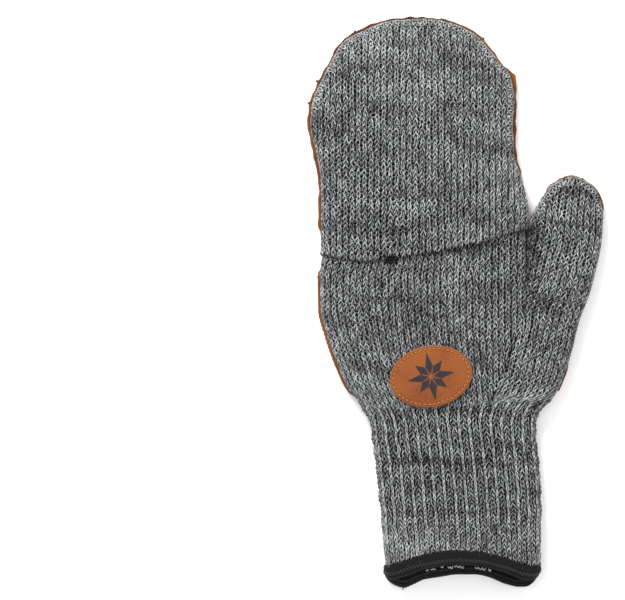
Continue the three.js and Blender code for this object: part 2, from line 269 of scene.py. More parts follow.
def web_at(x):
    """The line of the finger roots."""
    return 41.5 + 0.175 * np.asarray(x)


def ripple(x, y, seed, size):
    """Soft unevenness from -1 to 1 over the fabric, from a few crossing waves."""
    waves = np.random.default_rng(seed)
    total = 0
    for _ in range(6):
        angle, phase = waves.uniform(0, 2 * math.pi, 2)
        pitch = size * waves.uniform(0.6, 1.7)
        total = total + np.sin(2 * math.pi * (x * math.cos(angle) + y * math.sin(angle)) / pitch + phase)
    return total / 3.2


# Making meshes.
FLOOR_GAP = 0.02  # what lies on the floor is so far above it


def put(mesh, material, slot, *stands_for):
    """Puts a finished mesh in the scene under its own name, riding on the mitten."""
    piece = bpy.data.objects.new(mesh.name, mesh)
    bpy.context.scene.collection.objects.link(piece)
    mesh.materials.append(material)
    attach(piece, "root")
    if stands_for:
        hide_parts(*stands_for)
    return piece


def walled(piece, thickness, edge=0.0):
    """Gives a sheet its thickness, inwards from the side its faces point to, and eases its cut edges by edge."""
    wall = piece.modifiers.new("thickness", "SOLIDIFY")
    wall.thickness, wall.offset = thickness * MM, -1.0
    if edge:
        ease = piece.modifiers.new("eased", "BEVEL")
        ease.width, ease.segments, ease.limit_method = edge * MM, 2, "ANGLE"
        ease.angle_limit = math.radians(50)


def finished(bm, name):
    """A bmesh in millimetres as a smooth mesh in metres."""
    bmesh.ops.scale(bm, vec=(MM, MM, MM), verts=bm.verts)
    for face in bm.faces:
        face.smooth = True
    mesh = bpy.data.meshes.new(name)
    bm.to_mesh(mesh)
    bm.free()
    return mesh


def laid(bm, columns, rows, place, facing=None, weld=0.0):
    """Adds a grid of faces where place puts each share across and along, pressed flat where it would sink into the
    floor. facing is the way it looks on average, and weld the distance at which its points join."""
    made = bmesh.ops.create_grid(bm, x_segments=columns, y_segments=rows, size=1.0)["verts"]
    flat = np.array([v.co for v in made])
    for vert, point in zip(made, place((flat[:, 0] + 1) / 2, (flat[:, 1] + 1) / 2)):
        vert.co = point[0], point[1], max(point[2], FLOOR_GAP)
    faces = list({face for vert in made for face in vert.link_faces})
    if weld:
        bmesh.ops.remove_doubles(bm, verts=made, dist=weld)
        faces = [face for face in faces if face.is_valid]
    bmesh.ops.recalc_face_normals(bm, faces=faces)
    if facing is not None:
        bm.normal_update()
        total = sum((face.normal * face.calc_area() for face in faces), Vector())
        if total.dot(Vector(facing)) < 0:
            bmesh.ops.reverse_faces(bm, faces=faces)


def joined(name, points, faces, uv=None, tone=None):
    """One mesh from arrays: points in millimetres, faces of four, a UV for each corner and a tone for each point.
    What would sink into the floor is pressed flat on it."""
    points = np.maximum(points, [-1e3, -1e3, FLOOR_GAP])
    mesh = bpy.data.meshes.new(name)
    mesh.vertices.add(len(points))
    mesh.vertices.foreach_set("co", (points * MM).astype(np.float32).ravel())
    mesh.loops.add(faces.size)
    mesh.loops.foreach_set("vertex_index", faces.astype(np.int32).ravel())
    mesh.polygons.add(len(faces))
    mesh.polygons.foreach_set("loop_start", np.arange(0, faces.size, 4, dtype=np.int32))
    mesh.polygons.foreach_set("use_smooth", np.ones(len(faces), dtype=bool))
    if uv is not None:
        mesh.uv_layers.new(name="along").data.foreach_set("uv", uv.astype(np.float32).ravel())
    if tone is not None:
        mesh.attributes.new("tone", "FLOAT", "POINT").data.foreach_set("value", tone.astype(np.float32).ravel())
    mesh.update(calc_edges=True)
    mesh.validate()
    return mesh


SIDES = 6  # of a yarn
ROUND_END = np.array([[0, 1, 2, 3], [0, 3, 4, 5]])  # faces that close it
YARN_SHIFT = 7.3  # from strand to strand, so that their flecks differ


def thread(name, strands, radius):
    """Round yarn or thread along many strands, all in one mesh. A strand is its points, normals and tones."""
    points, faces, uvs, tone_out = [], [], [], []
    start = 0
    turn = np.arange(SIDES) * 2 * math.pi / SIDES
    for path, normal, tone in strands:
        along = np.gradient(path, axis=0)
        along /= np.maximum(np.linalg.norm(along, axis=1, keepdims=True), 1e-9)
        side = np.cross(along, normal)
        side /= np.maximum(np.linalg.norm(side, axis=1, keepdims=True), 1e-9)
        up = np.cross(side, along)
        girth = np.full(len(path), radius)
        girth[[0, -1]] *= 0.3
        spokes = np.cos(turn)[None, :, None] * side[:, None] + np.sin(turn)[None, :, None] * up[:, None]
        ring = path[:, None] + girth[:, None, None] * spokes
        length = (lengths(path) + YARN_SHIFT * len(points)) * MM
        i, k = np.arange(len(path) - 1)[:, None], np.arange(SIDES)[None, :]
        a, b = i * SIDES + k, i * SIDES + (k + 1) % SIDES
        low, high = np.broadcast_to(length[:-1, None], a.shape), np.broadcast_to(length[1:, None], a.shape)
        v0, v1 = np.broadcast_to(k / SIDES, a.shape), np.broadcast_to((k + 1) / SIDES, a.shape)
        last = (len(path) - 1) * SIDES
        ends = np.concatenate([ROUND_END, last + ROUND_END[:, ::-1]])
        faces.append(start + np.concatenate([np.stack([a, a + SIDES, b + SIDES, b], axis=-1).reshape(-1, 4), ends]))
        uvs.append(np.stack([low, v0, high, v0, high, v1, low, v1], axis=-1).reshape(-1, 8))
        uvs.append(np.tile([length[0], 0.5], (2, 4)))
        uvs.append(np.tile([length[-1], 0.5], (2, 4)))
        points.append(ring.reshape(-1, 3))
        tone_out.append(np.repeat(tone, SIDES))
        start += len(path) * SIDES
    return joined(name, np.concatenate(points), np.concatenate(faces), np.concatenate(uvs), np.concatenate(tone_out))


# Materials.
def linear(code):
    """An sRGB hex colour as linear RGBA."""
    parts = [int(code[i:i + 2], 16) / 255 for i in (1, 3, 5)]
    return tuple(c / 12.92 if c <= 0.04045 else ((c + 0.055) / 1.055) ** 2.4 for c in parts) + (1.0,)


def fill(node, inputs):
    """Sets or links a node's inputs, given as pairs of a key and a value or a socket."""
    for key, value in inputs:
        if isinstance(value, bpy.types.NodeSocket):
            node.id_data.links.new(value, node.inputs[key])
        else:
            node.inputs[key].default_value = value


def add(tree, kind, *inputs, stops=(), **settings):
    """Adds a node with its settings, its colour stops and its inputs, and gives its outputs."""
    node = tree.nodes.new(kind)
    for key, value in settings.items():
        setattr(node, key, value)
    fill(node, inputs)
    if stops:
        while len(node.color_ramp.elements) < len(stops):
            node.color_ramp.elements.new(0.5)
        for element, (place, code) in zip(node.color_ramp.elements, stops):
            element.position, element.color = place, linear(code)
    return node.outputs


def alike(tree, place, grain):
    """Colour and height both follow the grain."""
    return grain, grain


def made(name, grains, stops, roughness, specular=0.5, sheen=(0.0, 0.5), bump=None, pattern=alike):
    """A material. grains are noises: millimetres, detail and roughness. pattern makes of them the value that the
    colour stops read, and the height that bump raises, by its strength and millimetres."""
    material = bpy.data.materials.new(name)
    material.use_nodes = True
    tree = material.node_tree
    place = add(tree, "ShaderNodeTexCoord")["Object"]
    noises = []
    for size, detail, rough in grains:
        inputs = [("Vector", place), ("Scale", 1 / (size * MM)), ("Detail", detail), ("Roughness", rough)]
        noises.append(add(tree, "ShaderNodeTexNoise", *inputs)["Fac"])
    value, height = pattern(tree, place, *noises)
    finish = [("Base Color", add(tree, "ShaderNodeValToRGB", ("Fac", value), stops=stops)["Color"])]
    finish += [("Roughness", roughness), ("Specular IOR Level", specular)]
    finish += [("Sheen Weight", sheen[0]), ("Sheen Roughness", sheen[1])]
    if bump:
        inputs = [("Height", height), ("Strength", bump[0]), ("Distance", bump[1] * MM)]
        finish.append(("Normal", add(tree, "ShaderNodeBump", *inputs)[0]))
    fill(tree.nodes["Principled BSDF"], finish)
    return material


PLY_TURN = 3.1  # yarn to one turn of its plies


def twisted(tree, place, fleck, slub, fibre):
    """Plies that wind round the yarn, with its own tone, flecks, slubs, and painted light on the yarn's outer side with
    painted shade on its inner side.
    """
    length, around, _ = add(tree, "ShaderNodeSeparateXYZ", (0, add(tree, "ShaderNodeUVMap", uv_map="along")[0]))
    winding = [(0, length), (1, 1 / (PLY_TURN * MM)), (2, around)]
    turns = add(tree, "ShaderNodeMath", *winding, operation="MULTIPLY_ADD")[0]
    waves = []
    for share in (turns, around):
        angle = add(tree, "ShaderNodeMath", (0, share), (1, 2 * math.pi), operation="MULTIPLY")[0]
        waves.append(add(tree, "ShaderNodeMath", (0, angle), operation="SINE")[0])
    ply, flank = waves
    tone = add(tree, "ShaderNodeAttribute", attribute_name="tone")["Fac"]
    total = -0.21
    for source, share in ((flank, 0.14), (ply, 0.1), (tone, 0.6), (fleck, 0.6), (slub, 0.3)):
        total = add(tree, "ShaderNodeMath", (0, source), (1, share), (2, total), operation="MULTIPLY_ADD")[0]
    return total, add(tree, "ShaderNodeMath", (0, fibre), (1, 1.2), (2, ply), operation="MULTIPLY_ADD")[0]


def in_rows(tree, place, grain):
    """Rows of loops too deep to see apart."""
    inputs = [("Vector", place), ("Scale", 0.5 / (COURSE * MM)), ("Distortion", 3.0), ("Detail", 2.0)]
    rows = add(tree, "ShaderNodeTexWave", *inputs, bands_direction="Y")["Fac"]
    mixed = add(tree, "ShaderNodeMath", (0, rows), (1, grain), operation="MULTIPLY")[0]
    return mixed, mixed


def clouded(tree, place, nap, clouds):
    """A brushed nap, with soft clouds where it lies another way."""
    return add(tree, "ShaderNodeMath", (0, nap), (1, clouds), operation="ADD")[0], nap


def woven(tree, place, lint):
    """Fine ribs across a band, with a little lint."""
    inputs = [("Vector", place), ("Scale", 0.5 / (0.9 * MM)), ("Distortion", 1.2), ("Detail", 1.0)]
    ribs = add(tree, "ShaderNodeTexWave", *inputs, bands_direction="X")["Fac"]
    return add(tree, "ShaderNodeMath", (0, lint), (1, 2.0), (2, ribs), operation="MULTIPLY_ADD")[0], ribs


# Ragg wool: a light and a dark ply spun together, so the yarn is flecked along its length and dull all over.
WOOL = made("ragg_wool", [(1.2, 2.0, 0.6), (7.0, 2.0, 0.5), (0.4, 2.0, 0.5)],
            [(0.25, "#1e1e1f"), (0.54, "#6c6d6e"), (0.88, "#b8baba")], 0.95, 0.1, (0.05, 0.6), (0.6, 0.25), twisted)
# The same wool behind its surface loops, coloured dark as painted shade.
GROUND = made("knit_ground", [(1.1, 3.0, 0.5)], [(0.1, "#141415"), (0.6, "#363637")], 0.95, 0.1, bump=(0.7, 0.6),
              pattern=in_rows)
# Garment suede: split hide with a brushed nap, dull. The badge is cut from a redder hide.
TAN, BADGE = (
    made(name, [(0.7, 3.0, 0.7), (14.0, 3.0, 0.5)], [(0.75, dark), (1.0, light)], 0.92, 0.2, (0.25, 0.5), (0.35, 0.2),
         clouded)
    for name, dark, light in (("tan_suede", "#683716", "#824a1e"), ("badge_suede", "#673414", "#82461e")))
# Silicone grip dots, printed on and cured: near black and glossy.
RUBBER = made("grip_rubber", [(4.5, 2.0, 0.5)], [(0.3, "#1f1a1d"), (0.7, "#3a3338")], 0.28)
# Screen print on suede: flat aubergine ink that lets a little of the nap through.
PRINT = made("screen_print", [(0.8, 3.0, 0.5)], [(0.3, "#1d161b"), (0.72, "#2d2328")], 0.7, 0.3, bump=(0.3, 0.1))
# Spun polyester sewing thread, twisted from fine plies, with a slight gloss.
GOLD, BLACK_THREAD = (
    made(name, [(0.4, 1.0, 0.5)], [(0.35, dark), (0.65, light)], 0.5)
    for name, dark, light in (("gold_thread", "#7a4c16", "#bd8430"), ("black_thread", "#050506", "#111112")))
# Woven elastic tape: fine black ribs, dull, and a step lighter where the lint lies.
TAPE = made("elastic_tape", [(0.6, 3.0, 0.7)], [(0.6, "#020202"), (1.0, "#050505"), (1.0, "#121213")], 0.85, 0.15,
            bump=(0.5, 0.2), pattern=woven)
# White lacquered board, plain and dull.
BOARD = made("floor_board", [(400.0, 2.0, 0.5)], [(0.0, "#fafafa"), (1.0, "#ffffff")], 0.8, 0.2)

# Stage: the mitten lies on a plain white board and is seen from straight above.
board = bmesh.new()
bmesh.ops.create_grid(board, x_segments=2, y_segments=2, size=2000.0)
floor = bpy.data.objects.new("floor", finished(board, "floor"))
bpy.context.scene.collection.objects.link(floor)
floor.data.materials.append(BOARD)
floor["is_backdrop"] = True

camera = bpy.data.objects.new("camera", bpy.data.cameras.new("camera"))
bpy.context.scene.collection.objects.link(camera)
CAMERA_HEIGHT, FRAME_WIDTH = 1.8, 0.3281
camera.location = (-0.0761, 0.00105, CAMERA_HEIGHT)
camera.data.lens = 36 * (CAMERA_HEIGHT - 0.008) / FRAME_WIDTH
bpy.context.scene.camera = camera

world = bpy.data.worlds.new("soft_room")
world.use_nodes = True
world.node_tree.nodes["Background"].inputs[0].default_value = (1, 1, 1, 1)
world.node_tree.nodes["Background"].inputs[1].default_value = 1.06
bpy.context.scene.world = world
bpy.context.scene.view_settings.view_transform = "Standard"


def softbox(name, place, size, power):
    light = bpy.data.objects.new(name, bpy.data.lights.new(name, "AREA"))
    light.data.size, light.data.energy = size, power
    light.location = place
    light.rotation_euler = (Vector((-0.02, 0, 0)) - Vector(place)).to_track_quat("-Z", "Y").to_euler()
    bpy.context.scene.collection.objects.link(light)


softbox("softbox_left", (-0.45, 0.9, 0.75), 0.45, 18)
softbox("softbox_right", (0.7, 0.2, 1.3), 0.5, 3)

# Knit: every course is one yarn that loops through its neighbours.
STITCH_POINTS = 10  # points of yarn to a wale
LEG_SWING = 0.28  # how far a leg leans, in wales
LOOP_SQUEEZE = 0.055  # legs of one loop lie closer than those of two, in wales
LOOP_SHARE = 0.92  # how far a loop reaches from the middle of its course, in courses
LEG_LIFT = 0.6  # how far the legs stand out over the bends, to either side
DARK_BANDS = [(40, 1.4, 0.22), (58, 1.5, 0.16), (88, 6, 0.07), (1, 1.3, 0.16), (-57, 2.0, 0.1), (-83, 1.3, 0.3)]


def swung(wale, swing):
    """Where a looping yarn is, in wales, when it has got so far."""
    return wale + swing * np.sin(4 * math.pi * wale) - LOOP_SQUEEZE * np.sin(2 * math.pi * wale)


def lift_of(wale):
    """How far the yarn's middle is outside the surface: the bends lie deep and the legs on top."""
    return -LEG_LIFT * np.cos(4 * math.pi * wale) - YARN - LEG_LIFT + 0.25


def streaks(path, wale, course, light):
    """Tones along a yarn: light and dark runs, legs and clouds, a few dark courses, and painted shade where it bends
    back.
    """
    x, y = path[:, 0], path[:, 1]
    knots = np.arange(math.floor(wale[0]), wale[-1] + 6, 5)
    runs = np.interp(wale, knots, chance.uniform(0, 1, len(knots)))
    legs = np.arange(math.floor(wale[0]), wale[-1] + 1, 0.5)
    leg = np.interp(wale, legs + 0.25, chance.uniform(0, 1, len(legs)))
    bands = sum(depth * hump(course, middle, width) for middle, width, depth in DARK_BANDS)
    bands = bands * (1 + ripple(x, 0 * x, 13, 50))
    behind = 0.35 * np.cos(2 * math.pi * wale) ** 4
    clouds = 0.5 + 0.5 * ripple(x * 0.5, y, 11, 22)
    return light + 0.1 * chance.uniform(0, 1) + 0.1 * runs + 0.45 * leg + 0.16 * clouds - bands - behind


def knitted(tube, courses, wales, wale_line, course_line, keep, shape, light):
    """Strands of stockinette on a tube. wale_line gives the arc length of a wale at a place along the hand,
    course_line bends a course, keep says which points show, shape moves the finished points, and light is their tone,
    as a number or by place."""
    first, last = wales
    wale = np.linspace(first, last, (last - first) * STITCH_POINTS + 1)
    knots = np.arange(first, last + 1)
    strands = []
    for course in courses:
        uneven, shift = (np.interp(wale, knots, chance.normal(0, 1, len(knots))) for _ in range(2))
        place = swung(wale, LEG_SWING * (1 + 0.2 * uneven)) + 0.08 * shift
        reach = LOOP_SHARE * COURSE * (1 + 0.1 * shift)
        y = course_line(course, wale) + 0.22 * uneven - reach * np.cos(2 * math.pi * wale)
        s = wale_line(place, y)
        normal = tube.normal(y, s)
        path = shape(tube.point(y, s) + normal * lift_of(wale)[:, None], normal, wale)
        shown = keep(path, y) & (np.abs(s) <= np.interp(y, tube.ys, tube.half_round))
        tones = streaks(path, wale, course, light(path, wale) if callable(light) else light)
        edges = np.flatnonzero(np.diff(np.concatenate([[False], shown, [False]]).astype(int)))
        for a, b in zip(edges[::2], edges[1::2]):
            if b - a > 4:
                strands.append((path[a:b], normal[a:b], tones[a:b]))
    return strands


def put_knit(name, strands, radius=YARN):
    """Puts a knit in two pieces of about as many faces. The lower one stands for the solid of that name."""
    points = np.cumsum([len(path) for path, _, _ in strands])
    half = int(np.searchsorted(points, points[-1] / 2))
    put(thread(name + "_lower", strands[:half], radius), WOOL, "wool_knit", name)
    put(thread(name + "_upper", strands[half:], radius), WOOL, "wool_knit")


SLEEVE_ROWS = CUFF_ROWS + [
    (-57, -49.6, 44.2, 0.4, 15.9),
    (-51, -53.0, 49.6, 0.8, 15.9),
    (-45, -57.6, 53.0, 0.9, 16.0),
]
hand, thumb, cap, cuff = Tube(HAND_ROWS), Tube(THUMB_ROWS), Tube(CAP_ROWS, -CAP_EDGE), Tube(SLEEVE_ROWS)
# Lines across the hand by y: the fold between hand and thumb, the thumb's outer side, and the edge of its suede.
valley_at = smooth([(70, 36.8), (16, 36.7), (0, 35.2), (-15, 32.0), (-30, 27.0), (-45, 20.5), (-63, 14.0)])
outer_thumb = smooth([(row[0], row[2]) for row in THUMB_ROWS if row[0] < 46] + [(70, 80.5)])
suede_side = smooth([(82, 84), (52, 80), (46, 76.2), (40, 74), (14, 70), (-4, 65), (-26, 59.4), (-42, 58), (-63, 57)])


# Flip cap. Its wales run straight up to the tip, and its courses follow the hem, then level out.
CAP_LEFT = -79.0  # where its first wale is
HEM_ROLL = 1.7  # radius of the rolled hem
HEM_GAPE = -34.4  # where the hem gapes over the hand


def cap_wale(wale, y):
    return CAP_LEFT + WALE * wale - cap.middle(y)


def cap_course(course, wale):
    x = CAP_LEFT + WALE * wale
    follow = (1 - ramp(course, 24, 94)) ** 1.5
    return course + follow * (hem_at(x) - 26) + 0.5 * np.sin(x / 17 + course / 30)


def hem_edge(x):
    """The hem's own edge, with its gape."""
    return hem_at(x) + 2.2 * hump(x, HEM_GAPE, 3.0, 4)


def domed(path, tube, rise, centre):
    """Rounds the flat end of a tube's tip: centre is how much of the rise its middle gets."""
    left, right = tube.sizes(tube.high)[:2]
    across = (2 * path[..., 0] - left - right) / (right - left)
    share = ramp(path[..., 1], tube.high - 3.5, tube.high)
    path = path.copy()
    path[..., 1] += rise * share * (centre - np.minimum(np.abs(across), 1) ** 2)
    return path


def cap_tip(path):
    """The cap's tip: rounded, and lower at its left shoulder."""
    path = domed(path, cap, 0.5, 0.4)
    path[..., 1] -= 1.6 * hump(path[..., 0], -47, 9) * ramp(path[..., 1], 134, 144)
    path[..., 1] -= 0.8 * ramp(path[..., 1], 138, 147)
    return path


def thumb_tip(path):
    return domed(path, thumb, 1.5, 1.0)


def cap_shape(path, normal, wale):
    """The hem is rolled under, stands off the hand a little where it gapes, and ends in a small knob at the left."""
    over = path[:, 1] - hem_edge(path[:, 0])
    roll = HEM_ROLL - np.sqrt(HEM_ROLL**2 - np.clip(HEM_ROLL - over, 0, HEM_ROLL) ** 2)
    stand = 1.4 * hump(path[:, 0], -34, 6) * np.exp(-np.clip(over, 0, 30) / 6)
    x, y, z = cap_tip(path).T
    knob = 1.1 * hump(y, 27.8, 1) - 0.4 * hump(y, 25.2, 1.5)
    return np.column_stack([x + ramp(x, -66, -72) * knob, y, z + (stand - roll + 0.35 * ripple(x, y, 3, 45))])


def cap_keep(path, y):
    return (path[:, 2] > 3.0) & (path[:, 1] > hem_edge(path[:, 0]) - 0.4) & (y < cap.high + 0.6)


cap_strands = knitted(cap, np.arange(22, 152, COURSE), (-2, 38), cap_wale, cap_course, cap_keep, cap_shape, 0.0)
put_knit("cap_knit", cap_strands)


# Hand. Its wales are straight in the middle and lean in along the lower left outline.
def hand_wale(wale, y):
    u = 1 - wale / 32
    pulled = np.clip(hand.sizes(y)[..., 0] + 72, 0, 40)
    return 36.5 - 108.5 * u + pulled * np.sign(u) * np.abs(u) ** 1.6 - hand.middle(y)


def hand_course(course, wale):
    return course + 0.6 * np.sin(wale / 5.1 + course / 21)


def on_top_of_both(path, normal, wale):
    """On the upper side the fabric lies over hand and ball of the thumb, and dips under the cap and in the fold."""
    x, y, z = path.T
    lifted = np.maximum(hand.top(x, y), thumb.top(x, y)) + lift_of(wale)
    z = np.where((normal[:, 2] > 0.1) & (y < 16) & (lifted > z), lifted, z)
    under_cap = ramp(y - hem_at(x), -0.9, 0.7) * (x < 36.8)
    fold = hump(x, valley_at(y), 1.3) * ramp(y, -50, 0)
    z = z + (0.3 * ripple(x, y, 5, 40) - (1.7 * under_cap + 1.6 * fold)) * (normal[:, 2] > 0.3)
    return np.column_stack([x, y, z])


def hand_shape(path, normal, wale):
    """The hand swells a little under the hem's left end, and nearly closes up to the thumb."""
    x, y, z = on_top_of_both(path, normal, wale).T
    swell = 2.2 * hump(y, 22, 6) * ramp(x, -60, -68)
    push = np.interp(y, [14, 20, 28, 35, 42], [0, -0.2, 0.4, 1.4, 2.6])
    return np.column_stack([x + (push * ramp(x, 28, 36) - swell), y, z])


def below_heel(path):
    return path[:, 1] < heel_at(path[:, 0]) + 1.5


def rib_end(x):
    """Where the cuff's ribs run out into the plain knit of the hand."""
    return -53.5 + 0.06 * (x + 4)


def hand_keep(path, y):
    """The hand shows up to just under the hem, apart from the hole where the hem gapes, and down to its suede."""
    x, bent_y, z = path.T
    side = (x < valley_at(bent_y)) | (bent_y > 16)
    hole = (((x - HEM_GAPE) / 3.5) ** 2 + ((bent_y - hem_at(x) - 0.8) / 2.1) ** 2 < 1) & (z > 5)
    reach = (bent_y < hem_at(x) + 4) & (y > rib_end(x) - 2.0)
    return side & ((z > 2.2) | below_heel(path)) & reach & ~hole


# Thumb and its ball. The wales run along its outer side.
def thumb_shape(path, normal, wale):
    x, y, z = on_top_of_both(path, normal, wale).T
    push = np.interp(y, [10, 16, 28, 35, 40, 50], [0, 0.4, 0.8, 1.1, 1.4, 0])
    return thumb_tip(np.column_stack([x - push * ramp(x, 46, 38), y, z]))


def thumb_wale(wale, y):
    lean = (outer_thumb(y + 1) - outer_thumb(y - 1)) / 2
    spread = np.sqrt(1 + lean**2) * np.interp(y, [-63, -30], [0.8, 1.0])
    return outer_thumb(y) + 4.5 - WALE * spread * (14 - wale) - thumb.middle(y)


def thumb_course(course, wale):
    return course - 0.2 * ramp(course, -40, 10) * WALE * (wale - 8)


def thumb_keep(path, y):
    side = (path[:, 0] > valley_at(path[:, 1]) - 0.4) | (path[:, 1] > 16)
    bare = below_heel(path) | (path[:, 0] > suede_side(path[:, 1]) - 1)
    return side & ((path[:, 2] > 2.2) | bare) & (y > rib_end(path[:, 0]) - 2.0) & (y < thumb.high + 0.4)


def thumb_light(path, wale):
    """Painted shade on the thumb's knit next to the fold, where the hand would shade it; the whole thumb is toned a
    touch darker too.
    """
    x, y, _ = path.T
    return -0.03 - 0.32 * hump(np.maximum(x - valley_at(y), 0), 0, 4.5) * ramp(y, -2, 16) * ramp(y, 48, 38)


# Painted shade: the hand's knit is toned a step darker than the cap's, standing in for light that falls off towards the
# wrist.
hand_strands = knitted(
    hand, np.arange(WRIST, 45, COURSE), (-26, 58), hand_wale, hand_course, hand_keep, hand_shape, -0.07)
put_knit("hand_knit", hand_strands)
thumb_strands = knitted(
    thumb, np.arange(WRIST - 4, 72, COURSE), (-12, 28), thumb_wale, thumb_course, thumb_keep, thumb_shape, thumb_light)
put(thread("thumb_knit_yarn", thumb_strands, YARN), WOOL, "wool_knit", "thumb_knit")

# Courses of loops on the rims, where the knit of cap and thumb is caught in the seam with the suede.
RIM_FOOT = 3.2  # height of the suede's edge
RIM_PITCH = 0.85 * WALE
RIM_RANKS = [  # both ends of the loops: how far in from the rim, and how high between the suede and the top of the knit
    ((0.85, 3.6), (1.0, 1.0)),
    ((0.3, 0.9), (0.4, 1.05)),
    ((0.0, 0.3), (-0.1, 0.55)),
]
RIMS = [(cap, (100, 78), cap_tip), (thumb, (46, 42), thumb_tip)]  # with where each begins, left and right


def rim_course(tube, starts, tip, inset, rise):
    """A course of loops that stands square on a tube's rim."""
    up, down = np.arange(starts[0], tube.high, 0.4), np.arange(tube.high, starts[1], -0.4)
    left = np.column_stack([tube.sizes(up)[:, 0] - tube.grow, up])
    right = np.column_stack([tube.sizes(down)[:, 1] + tube.grow, down])
    rim = np.concatenate([left, right])
    steps = lengths(rim)
    wale = np.arange(0, steps[-1] / RIM_PITCH - 1, 1 / STITCH_POINTS)
    knots = np.arange(0, wale[-1] + 1)
    uneven = np.interp(wale, knots, chance.normal(0, 1, len(knots)))
    at = RIM_PITCH * (swung(wale, LEG_SWING) + 0.5 + 0.07 * uneven)
    line, before, after = (
        np.column_stack([np.interp(at + shift, steps, column) for column in rim.T]) for shift in (0, -1.5, 1.5))
    along = after - before
    inward = np.column_stack([along[:, 1], -along[:, 0]])
    inward /= np.maximum(np.linalg.norm(along, axis=1), 1e-9)[:, None]
    share = 0.5 - 0.5 * np.cos(2 * math.pi * wale)
    deep = np.interp(share, [0, 1], inset) + 0.15 * uneven
    plan, inside = (line + inward * depth[:, None] for depth in (deep, np.maximum(deep, 1.3)))
    full = tube.top(inside[:, 0], inside[:, 1]) - RIM_FOOT
    height = RIM_FOOT + full * np.interp(share, [0, 1], rise) + 0.3 - 0.35 * np.cos(4 * math.pi * wale)
    path = tip(np.column_stack([plan, height]))
    normal = np.column_stack([-0.6 * inward, np.full(len(path), 0.8)])
    return path, normal, streaks(path, wale, 999.0, 0.1)


rim_strands = [rim_course(*rim, *rank) for rank in RIM_RANKS for rim in RIMS]
put(thread("rim_yarn", rim_strands, YARN * 0.9), WOOL, "wool_knit")


# Ribbed cuff: every second wale is drawn narrow, and the fabric sinks between the wales.
RIB_SINK = 1.0  # how deep the fabric sinks
CUFF_WALES = 34  # from the crown line to either side


def rib_fade(y):
    """The ribs are stretched flat near the binding."""
    return np.clip((y - (CUFF_END + BINDING_BAND + 2)) / 26, 0.25, 1)


def rib_wale(wale, y):
    drawn = wale + 0.17 * rib_fade(y) * np.sin(math.pi * wale)
    return drawn / CUFF_WALES * np.interp(y, cuff.ys, cuff.half_round)


def rib_course(course, wale):
    return course + 0.35 * np.sin(wale / 4.3 + course / 9)


def rib_shape(path, normal, wale):
    between = (0.5 - 0.5 * np.cos(2 * math.pi * wale)) ** 2 - 0.35 * (0.5 - 0.5 * np.cos(math.pi * wale))
    path = path - normal * (RIB_SINK * between * rib_fade(path[:, 1]))[:, None]
    path[:, 0] += 0.4 * ripple(path[:, 1], 0 * path[:, 1], 51, 8) * ramp(np.abs(path[:, 0] - 2), 0, 40) ** 2
    return bent_mouth(path)


def cuff_keep(path, y):
    return (y > CUFF_END + BINDING_BAND - 3.4) & (y < rib_end(path[:, 0]) + 1.0)


def rib_light(path, wale):
    """Painted light on the narrow wales and painted shade on the wide ones; away from the binding the ribs are toned a
    little darker overall.
    """
    fade = rib_fade(path[:, 1])
    return 0.03 - 0.05 * fade - 0.12 * fade * np.cos(math.pi * wale)


cuff_strands = knitted(
    cuff, np.arange(CUFF_END + 1.5, -47, COURSE), (-CUFF_WALES, CUFF_WALES), rib_wale, rib_course, cuff_keep, rib_shape,
    rib_light)
put_knit("cuff_knit", cuff_strands, YARN * 0.94)

# Knit behind the loops, one shell for each tube.
DEEP = 1.7  # how far inside the loops' surface they lie
CAP_SIDE = 2.4  # height of the cap's lower edge


def round_tube(tube, low, high, grow=-DEEP, bend=False):
    """Lays a tube's whole skin between two places along the hand."""
    def place(across, along):
        y = low + (high - low) * along
        s = (2 * across - 1) * np.interp(y, tube.ys, tube.half_round)
        points = tube.point(y, s) + tube.normal(y, s * 0.999) * grow
        return bent_mouth(points) if bend else points
    return place


def closed_tip(tube, low, high, stretch):
    """A tube that narrows into its closed tip."""
    def place(across, along):
        points = round_tube(tube, low, high)(across, np.minimum(along / 0.9, 1))
        left, right, under, crown = tube.sizes(high)
        middle = (left + right) / 2
        core = points.copy()
        core[:, 0] = middle + (points[:, 0] - middle) * stretch
        core[:, 2] = (under + crown) / 2
        shut = ramp(along, 0.9, 1)[:, None]
        return points * (1 - shut) + core * shut
    return place


def cap_skin(across, along):
    """The cap's knit from one side to the other, bent down at its tip and at both sides."""
    y = np.minimum(21 + (cap.high - 1.2 - 21) * along / 0.9, cap.high - 1.2)
    left, right = np.moveaxis(cap.sizes(y), -1, 0)[:2]
    x = cap.middle(y) - ((right - left) / 2 - CAP_EDGE - DEEP) * np.cos(math.pi * across)
    y = np.maximum(y, hem_at(x) + 1.5)
    top = np.maximum(np.maximum(cap.top(x, y), 3.0) - DEEP, CAP_SIDE)
    top = np.where((across < 1e-6) | (across > 1 - 1e-6), CAP_SIDE, top)
    drop = ramp(along, 0.9, 1)
    points = cap_tip(np.stack([x, y, top * (1 - drop) + CAP_SIDE * drop], axis=-1))
    points[:, 1] -= 0.8 * ramp(y, 136, 144)
    return points


def shell(name, columns, rows, place, thickness, *stands_for, weld=0.01, facing=None):
    """A sheet of the knit that lies behind the loops."""
    bm = bmesh.new()
    laid(bm, columns, rows, place, facing, weld)
    walled(put(finished(bm, name), GROUND, "wool_knit", *stands_for), thickness)


shell("hand_lining", 72, 40, round_tube(hand, WRIST - 1, 38), 1.0)
shell("thumb_lining", 48, 48, closed_tip(thumb, WRIST - 1, thumb.high - 0.8, 0.6), 1.0)
shell("cuff_lining", 68, 26, round_tube(cuff, CUFF_END + 1, -53, -RIB_SINK - 1.0, True), 0.6)
shell("cap_lining", 44, 44, cap_skin, 0.8, weld=0.0, facing=(0, 0, 1))

